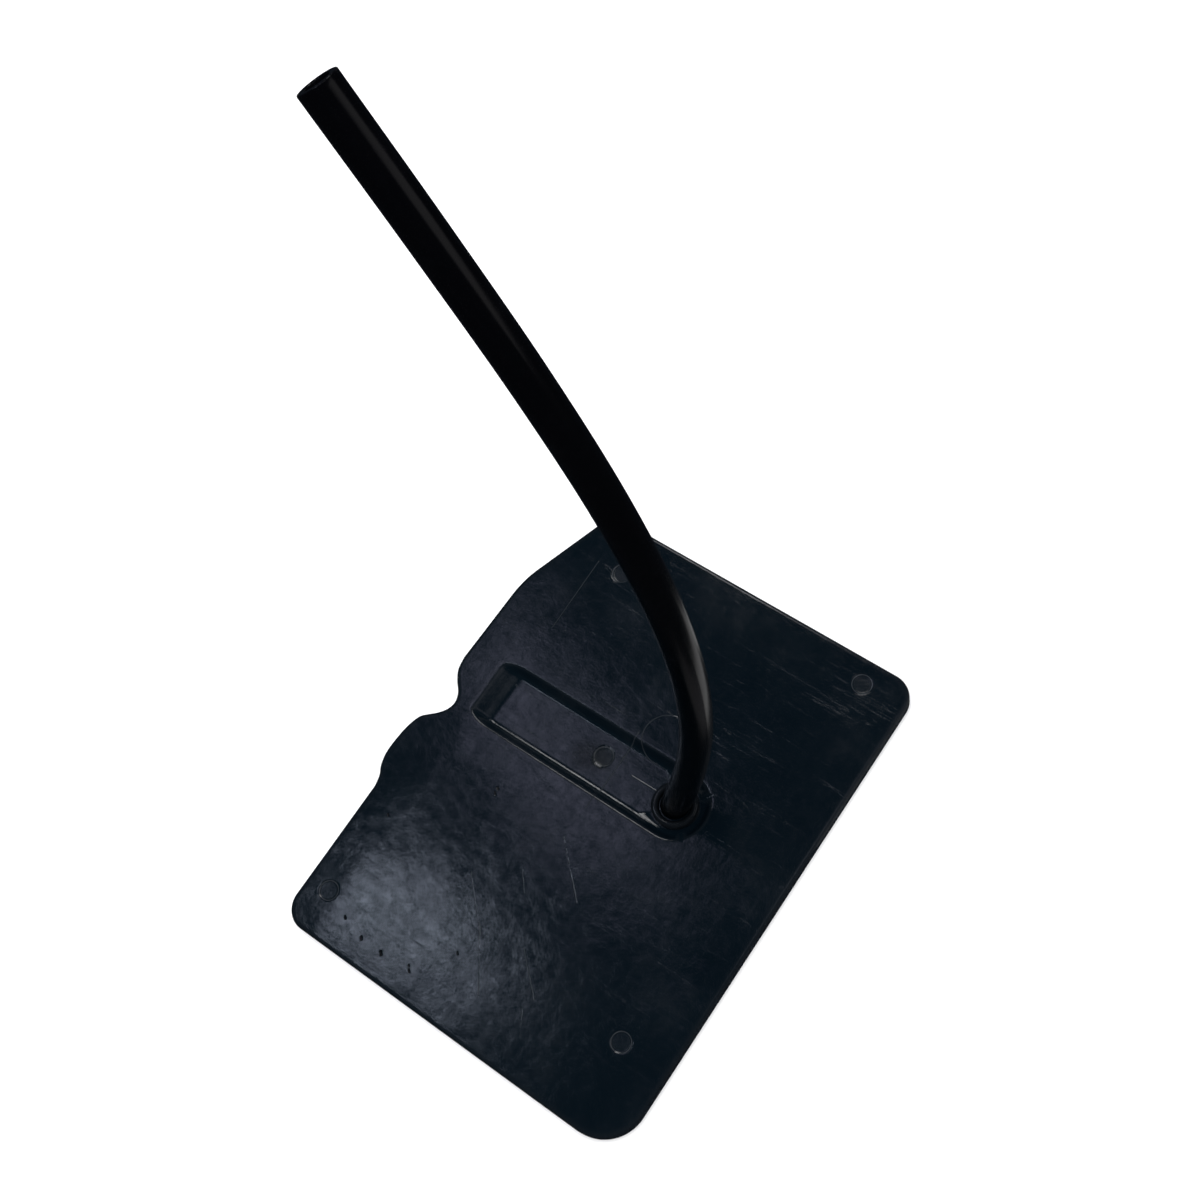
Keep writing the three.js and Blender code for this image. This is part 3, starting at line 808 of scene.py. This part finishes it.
# Painted highlight round the rims of the round marks.
colour = tint(tree, colour, mark_rim_highlight, 0.6, PLATE_SCRATCH_AND_HIGHLIGHT)
colour = blend_colour(tree, pits, colour, PIT_AND_SHADE_DARK)
rough = plus(tree, 0.04, clouds, 0.06)
rough = plus(tree, rough, wiped, 0.05)
rough = plus(tree, rough, patches, 0.06)
rough = plus(tree, rough, dull_shaded_patch, 0.10)
rough = plus(tree, rough, mark_disc, 0.12)
rough = plus(tree, rough, mottle, 0.05)
rough = plus(tree, rough, pits, 0.3, clamp=True)
height = times(tree, grain, 0.55)
height = plus(tree, height, patches, 0.5)
height = plus(tree, height, mottle, 1.6)
height = plus(tree, height, wiped, 0.7)
height = minus(tree, height, times(tree, scratches, 0.6))
height = minus(tree, height, times(tree, long_scratch, 1.2))
height = plus(tree, height, mould_line, 1.5)
height = minus(tree, height, times(tree, pits, 3.0))
bump = add_node(tree, "ShaderNodeBump", Strength=0.6, Distance=0.00012, Height=height)
# A thin film of dust and oil dulls the shine in blotches a few millimetres across.
film = maths(tree, "ADD", times(tree, mottle, 0.65), times(tree, wiped, 0.35))
film = times(tree, minus(tree, film, 0.30), 2.5, clamp=True)
shader = link_surface(tree, colour, rough, bump)
tree.links.new(plus(tree, 0.18, film, 0.64), shader.inputs["Specular IOR Level"])
plate.data.materials.append(plate_material)
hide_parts("base_plate")
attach(plate, "plate")

# ---------------------------------------------------------------------------
# Collar. A glossy rubber ring with a rolled top that lies on the trough's floor round
# the hose's foot and keeps grit out of the socket. Moulded, and glued to the plate.
# ---------------------------------------------------------------------------
COLLAR_AROUND = 128
COLLAR_FOOT = collar_low[2]
COLLAR_TOP = collar_high[2]
COLLAR_INNER = 0.0143
COLLAR_OUTER = (collar_high[0] - collar_low[0]) / 2


def lathe_rings(radii, heights, centre, around):
    """Rings about a vertical line through centre: X and Y are radius times the cosine
    and sine of the angle, Z is the height, for each pair of radius and height."""
    angle = np.linspace(0, 2 * np.pi, around, endpoint=False)
    radii = np.asarray(radii)[:, None]
    heights = np.broadcast_to(np.asarray(heights)[:, None], (len(radii), around))
    return np.stack(
        [centre[0] + radii * np.cos(angle), centre[1] + radii * np.sin(angle), heights],
        axis=-1)


def closed_profile(name, rings):
    """A ring-shaped piece from a stack of rings that closes on its first ring."""
    around = rings.shape[1]
    quads = ring_quads(len(rings) + 1, around) % (len(rings) * around)
    return mesh_object(name, rings.reshape(-1, 3), quads)


roll = np.radians(np.linspace(0, 180, 25))
collar_middle = (COLLAR_OUTER + COLLAR_INNER) / 2
collar_half = (COLLAR_OUTER - COLLAR_INNER) / 2
roll_base = COLLAR_TOP - 0.0036
collar_radii = np.concatenate([
    [COLLAR_INNER, COLLAR_INNER + 0.0004, COLLAR_OUTER - 0.0008, COLLAR_OUTER, COLLAR_OUTER],
    collar_middle + collar_half * np.cos(roll)])
collar_heights = np.concatenate([
    [COLLAR_FOOT + 0.0004, COLLAR_FOOT, COLLAR_FOOT, COLLAR_FOOT + 0.0008, roll_base - 0.001],
    roll_base + 0.0036 * np.sin(roll)])
collar = closed_profile(
    "socket_ring", lathe_rings(collar_radii, collar_heights, SOCKET, COLLAR_AROUND))
finish_mesh(collar)

collar_material, tree = new_material("glossy collar rubber")
place = tree.nodes.new("ShaderNodeTexCoord").outputs["Object"]
patches = use_group(tree, rubbed, Vector=place, Size=60.0, Spread=0.5)
scratches = use_group(tree, scratched, Vector=place, Density=40.0, Amount=0.4)
grain = use_group(tree, grained, Vector=place, Size=1500.0)
colour = blend_colour(tree, times(tree, patches, 0.5),
                      (0.0030, 0.0040, 0.0052, 1.0), (0.0120, 0.0135, 0.0160, 1.0))
colour = tint(tree, colour, scratches, 0.5, (0.04, 0.043, 0.05, 1.0))
rough = plus(tree, 0.12, patches, 0.15)
bump = add_node(tree, "ShaderNodeBump", Strength=0.3, Distance=0.00006, Height=grain)
link_surface(tree, colour, rough, bump)
collar.data.materials.append(collar_material)
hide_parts("socket_collar")
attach(collar, "plate")

# ---------------------------------------------------------------------------
# Stub, screw and washer. The stub is a turned plug with three shallow barbs that the
# hose is pushed over; one screw, with a washer, holds it from under the plate.
# ---------------------------------------------------------------------------
STUB_LEAN = np.array([-0.213, -0.13, 0.968])
STUB_LEAN = STUB_LEAN / np.linalg.norm(STUB_LEAN)
HOSE_START = np.array([SOCKET[0], SOCKET[1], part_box("tube_foot")[0][2]])
STUB_AROUND = 64
side_one = np.cross(STUB_LEAN, [0.0, 0.0, 1.0])
side_one = side_one / np.linalg.norm(side_one)
side_two = np.cross(STUB_LEAN, side_one)
stub_angle = np.linspace(0, 2 * np.pi, STUB_AROUND, endpoint=False)
stub_along = np.array([0, .2, 4.2, 4.6, 4.61, 8.4, 8.8, 8.81, 12.6, 13, 13.01, 17, 19, 21, 22, 22])
stub_along = stub_along * 0.001
stub_radii = 0.001 * np.array(
    [7.2, 7.4, 7.6, 7.55, 7.0, 7.6, 7.55, 7.0, 7.6, 7.55, 7.0, 7.1, 7.0, 6.6, 5.6, 0.0])
around_stub = (np.cos(stub_angle)[:, None] * side_one + np.sin(stub_angle)[:, None] * side_two)
stub_rings = (
    HOSE_START + stub_along[:, None, None] * STUB_LEAN
    + stub_radii[:, None, None] * around_stub[None])
# The foot is cut level with the pad: its first ring slides along the stub to Z = start.
foot_shift = (HOSE_START[2] - stub_rings[0][:, 2]) / STUB_LEAN[2]
ease = np.clip(1 - stub_along / 0.004, 0, 1)[:, None]
stub_rings = stub_rings + (ease * foot_shift)[..., None] * STUB_LEAN
stub_base = np.broadcast_to(HOSE_START, (1, STUB_AROUND, 3))
stub = mesh_object(
    "hose_stub", np.concatenate([stub_base, stub_rings]).reshape(-1, 3),
    ring_quads(len(stub_rings) + 1, STUB_AROUND))


def weld_poles(piece):
    """Merges the points of any ring that has no size, so that its triangles meet there."""
    welded = bmesh.new()
    welded.from_mesh(piece.data)
    bmesh.ops.remove_doubles(welded, verts=welded.verts, dist=1e-6)
    welded.to_mesh(piece.data)
    welded.free()


weld_poles(stub)
finish_mesh(stub)
stub_material, tree = new_material("moulded nylon")
place = tree.nodes.new("ShaderNodeTexCoord").outputs["Object"]
patches = use_group(tree, rubbed, Vector=place, Size=90.0, Spread=0.5)
scratches = use_group(tree, scratched, Vector=place, Density=60.0, Amount=0.5)
grain = use_group(tree, grained, Vector=place, Size=2500.0)
colour = blend_colour(tree, patches, (0.012, 0.013, 0.014, 1.0), (0.030, 0.031, 0.033, 1.0))
colour = tint(tree, colour, scratches, 0.5, (0.09, 0.09, 0.095, 1.0))
bump = add_node(tree, "ShaderNodeBump", Strength=0.4, Distance=0.00005, Height=grain)
rough = plus(tree, 0.4, patches, 0.2)
link_surface(tree, colour, rough, bump)
stub.data.materials.append(stub_material)
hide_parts("tube_stub")
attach(stub, "stub")

screw_low, screw_high = (np.array(corner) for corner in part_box("stub_screw"))
washer_low, washer_high = (np.array(corner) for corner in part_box("screw_washer"))
SCREW_AROUND = 48
SCREW_HEAD_RADIUS = (screw_high[0] - screw_low[0]) / 2
SCREW_HEAD_TOP = washer_low[2] - 0.0003
SHANK_RADIUS = 0.003
THREAD_DEPTH = 0.00032
THREAD_PITCH = 0.001
THREAD_START = 0.0085
KEY_HALF_WIDTH = 0.0021
KEY_DEPTH = 0.002
screw_angle = np.linspace(0, 2 * np.pi, SCREW_AROUND, endpoint=False)
hexagon = 1 / np.cos(np.mod(screw_angle, np.pi / 3) - np.pi / 6)
head_bottom = screw_low[2]
key_radii = KEY_HALF_WIDTH * hexagon[None] * np.array([0.0, 0.9, 1.0, 1.0])[:, None]
key_heights = head_bottom + np.array([KEY_DEPTH, KEY_DEPTH, KEY_DEPTH - 0.0001, 0.0003])
head_radii = np.array([0.0028, 0.0032, 1, 1, 1, 0.0031])
head_radii[2:5] = SCREW_HEAD_RADIUS - np.array([0.0006, 0.0, 0.0])
head_heights = np.array([
    head_bottom, head_bottom, head_bottom, head_bottom + 0.0006, SCREW_HEAD_TOP,
    SCREW_HEAD_TOP])
thread_heights = np.linspace(THREAD_START, screw_high[2], 90)
thread_turn = (thread_heights[:, None] / THREAD_PITCH - screw_angle / (2 * np.pi)) % 1.0
thread_radii = SHANK_RADIUS - THREAD_DEPTH * (1 - np.abs(2 * thread_turn - 1))
thread_end = np.clip((screw_high[2] - thread_heights) / 0.0012, 0.6, 1)[:, None]
screw_radii = np.concatenate([
    key_radii,
    np.repeat(head_radii[:, None], SCREW_AROUND, axis=1),
    np.full((2, SCREW_AROUND), SHANK_RADIUS),
    thread_radii * thread_end,
    np.zeros((1, SCREW_AROUND)),
])
screw_heights = np.concatenate([
    key_heights, head_heights, [SCREW_HEAD_TOP + 0.0001, THREAD_START - 0.0002],
    thread_heights, [screw_high[2]]])
screw_rings = np.stack([
    SOCKET[0] + screw_radii * np.cos(screw_angle),
    SOCKET[1] + screw_radii * np.sin(screw_angle),
    np.broadcast_to(screw_heights[:, None], screw_radii.shape)], axis=-1)
screw = mesh_object(
    "hex_socket_screw", screw_rings.reshape(-1, 3), ring_quads(len(screw_rings), SCREW_AROUND))
weld_poles(screw)
finish_mesh(screw)

WASHER_RADIUS = (washer_high[0] - washer_low[0]) / 2
WASHER_EDGE = 0.0002
washer_radii = [
    SCREW_HOLE_RADIUS, SCREW_HOLE_RADIUS + WASHER_EDGE, WASHER_RADIUS - WASHER_EDGE,
    WASHER_RADIUS, WASHER_RADIUS, WASHER_RADIUS - WASHER_EDGE,
    SCREW_HOLE_RADIUS + WASHER_EDGE, SCREW_HOLE_RADIUS]
washer_heights = [
    washer_low[2] + WASHER_EDGE, washer_low[2], washer_low[2], washer_low[2] + WASHER_EDGE,
    washer_high[2] - WASHER_EDGE, washer_high[2], washer_high[2],
    washer_high[2] - WASHER_EDGE]
washer = closed_profile("flat_washer", lathe_rings(washer_radii, washer_heights, SOCKET, 96))
finish_mesh(washer, 30)

steel_material, tree = new_material("zinc-plated steel")
place = tree.nodes.new("ShaderNodeTexCoord").outputs["Object"]
patches = use_group(tree, rubbed, Vector=place, Size=260.0, Spread=0.6)
scratches = use_group(tree, scratched, Vector=place, Density=160.0, Amount=0.7)
grain = use_group(tree, grained, Vector=place, Size=4000.0)
colour = blend_colour(tree, patches, (0.46, 0.47, 0.48, 1.0), (0.24, 0.235, 0.22, 1.0))
colour = blend_colour(tree, scratches, colour, (0.62, 0.62, 0.63, 1.0))
bump = add_node(tree, "ShaderNodeBump", Strength=0.3, Distance=0.00003,
                Height=minus(tree, grain, scratches))
rough = plus(tree, 0.28, patches, 0.3)
shader = link_surface(tree, colour, rough, bump)
shader.inputs["Metallic"].default_value = 1.0
for piece, node, body in (
        (screw, "stub_screw", "stub"), (washer, "screw_washer", "plate")):
    piece.data.materials.append(steel_material)
    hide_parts(node)
    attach(piece, body)

# ---------------------------------------------------------------------------
# Hose. One length of thick black rubber hose, extruded and cut square, pushed over the
# stub by hand. It has taken a set from years of use, so that it leaves the socket one
# way and leans the other way at the top. It is drawn as four lengths, end to end.
# ---------------------------------------------------------------------------
HOSE_RADIUS = 0.0127
BORE_RADIUS = 0.008
HOSE_AROUND = 96
STRAIGHT_START = 0.03
HOSE_LINE = [
    (-0.0793, -0.0468, 0.108), (-0.0928, -0.0586, 0.207), (-0.095, -0.069, 0.306),
    (-0.083, -0.0792, 0.4045), (-0.0546, -0.0904, 0.499), (-0.0116, -0.103, 0.588),
    (0.0434, -0.1178, 0.670), (0.105, -0.1347, 0.7465),
]
CUT_ROUND = 0.0007
FLAT_START_EASE = 0.012
# Each length: its start and end along the hose, where its bend starts and ends, and
# the two bodies that it joins
HOSE_LENGTHS = [
    ("hose_foot", 0.0, 0.066, 0.010, 0.060, "tube_foot", "tube_lower"),
    ("hose_lower", 0.066, 0.196, 0.068, 0.192, "tube_lower", "tube_lower_middle"),
    ("hose_middle", 0.196, 0.400, 0.202, 0.398, "tube_lower_middle", "tube_upper_middle"),
    ("hose_upper", 0.400, None, 0.402, 0.598, "tube_upper_middle", "tube_upper"),
]
HOSE_REPLACES = {
    "hose_foot": ["tube_foot"], "hose_lower": ["tube_lower"],
    "hose_middle": ["tube_lower_middle"], "hose_upper": ["tube_upper_middle", "tube_upper"],
}
hose_points = smooth_through(
    [HOSE_START, HOSE_START + STRAIGHT_START * STUB_LEAN] + HOSE_LINE, 80)
hose_travel = np.concatenate(
    [[0], np.cumsum(np.linalg.norm(np.diff(hose_points, axis=0), axis=1))])
HOSE_END = hose_travel[-1]


def hose_frames(travel):
    """Centre, and two directions across the hose, at each distance along it. The first
    direction is across both the hose and the plate's long edge, so it never twists."""
    centre = np.stack(
        [np.interp(travel, hose_travel, hose_points[:, axis]) for axis in range(3)], axis=1)
    slope = np.gradient(hose_points, hose_travel, axis=0)
    along = np.stack(
        [np.interp(travel, hose_travel, slope[:, axis]) for axis in range(3)], axis=1)
    along = along / np.linalg.norm(along, axis=1)[:, None]
    across = np.cross(np.array([0.0, 1.0, 0.0]), along)
    across = across / np.linalg.norm(across, axis=1)[:, None]
    return centre, along, across, np.cross(along, across)


def hose_wall(travel, radii):
    """Rings round the hose's middle line, for matching arrays of distance along it and
    radius: centre plus radius times the cosine and sine of the angle along the two
    directions across it. Near the foot each ring is slid along the hose until the first
    is level with the pad."""
    angle = np.linspace(0, 2 * np.pi, HOSE_AROUND, endpoint=False)
    centre, along, across, upward = hose_frames(travel)
    round_vector = (
        np.cos(angle)[None, :, None] * across[:, None]
        + np.sin(angle)[None, :, None] * upward[:, None])
    points = centre[:, None] + radii[:, None, None] * round_vector
    level = np.clip(1 - travel / FLAT_START_EASE, 0, 1)[:, None] ** 2
    slide = level * (-(points - centre[:, None])[..., 2] / along[:, None, 2])
    points = points + slide[..., None] * along[:, None]
    straight = np.stack([
        radii[:, None] * np.cos(angle), radii[:, None] * np.sin(angle),
        np.broadcast_to(travel[:, None], (len(travel), HOSE_AROUND))], axis=-1)
    return points, straight


hose_material, tree = new_material("extruded hose rubber")
straight = add_node(tree, "ShaderNodeAttribute", {"attribute_name": "straight"})
place = straight.outputs["Vector"]
stretched = add_node(tree, "ShaderNodeMapping", Vector=place, Scale=(1.0, 1.0, 0.06))
streaks = noise(tree, stretched.outputs[0], Scale=420.0, Detail=4.0, Roughness=0.6)
patches = use_group(tree, rubbed, Vector=place, Size=24.0, Spread=0.5)
scratches = use_group(tree, scratched, Vector=place, Density=22.0, Amount=0.5)
grain = use_group(tree, grained, Vector=place, Size=700.0)
colour = blend_colour(tree, streaks, (0.0003, 0.0003, 0.0006, 1.0), (0.0008, 0.0008, 0.0012, 1.0))
colour = tint(tree, colour, patches, 0.5, (0.0030, 0.0030, 0.0042, 1.0))
colour = tint(tree, colour, scratches, 0.25, (0.014, 0.014, 0.017, 1.0))
rough = plus(tree, 0.17, streaks, 0.08)
rough = plus(tree, rough, patches, 0.10)
height = maths(tree, "ADD", times(tree, grain, 0.25), times(tree, streaks, 0.3))
height = minus(tree, height, times(tree, scratches, 0.5))
bump = add_node(tree, "ShaderNodeBump", Strength=0.4, Distance=0.00004, Height=height)
link_surface(tree, colour, rough, bump)

for name, start, end, bend_start, bend_end, before, after in HOSE_LENGTHS:
    is_top = end is None
    end = HOSE_END if is_top else end
    steps = max(8, round((end - start) / 0.0025))
    travel = np.linspace(start, end - (CUT_ROUND if is_top else 0), steps + 1)
    turn = np.radians([30, 60, 90])
    cut = CUT_ROUND * np.sin(turn) if is_top else np.zeros(0)
    cut_in = CUT_ROUND * (1 - np.cos(turn)) if is_top else np.zeros(0)
    outer_travel = np.concatenate([travel, travel[-1] + cut])
    outer_radii = np.concatenate([np.full(len(travel), HOSE_RADIUS), HOSE_RADIUS - cut_in])
    inner_radii = np.concatenate([np.full(len(travel), BORE_RADIUS), BORE_RADIUS + cut_in])
    wall, outer_straight = hose_wall(outer_travel, outer_radii)
    lining, inner_straight = hose_wall(outer_travel, inner_radii)
    length = closed_profile(name, np.concatenate([wall, lining[::-1]]))
    length.data.attributes.new("straight", "FLOAT_VECTOR", "POINT").data.foreach_set(
        "vector",
        np.concatenate([outer_straight, inner_straight[::-1]]).astype(np.float32).ravel())
    finish_mesh(length, 50)
    length.data.materials.append(hose_material)
    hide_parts(*HOSE_REPLACES[name])
    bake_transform(length)
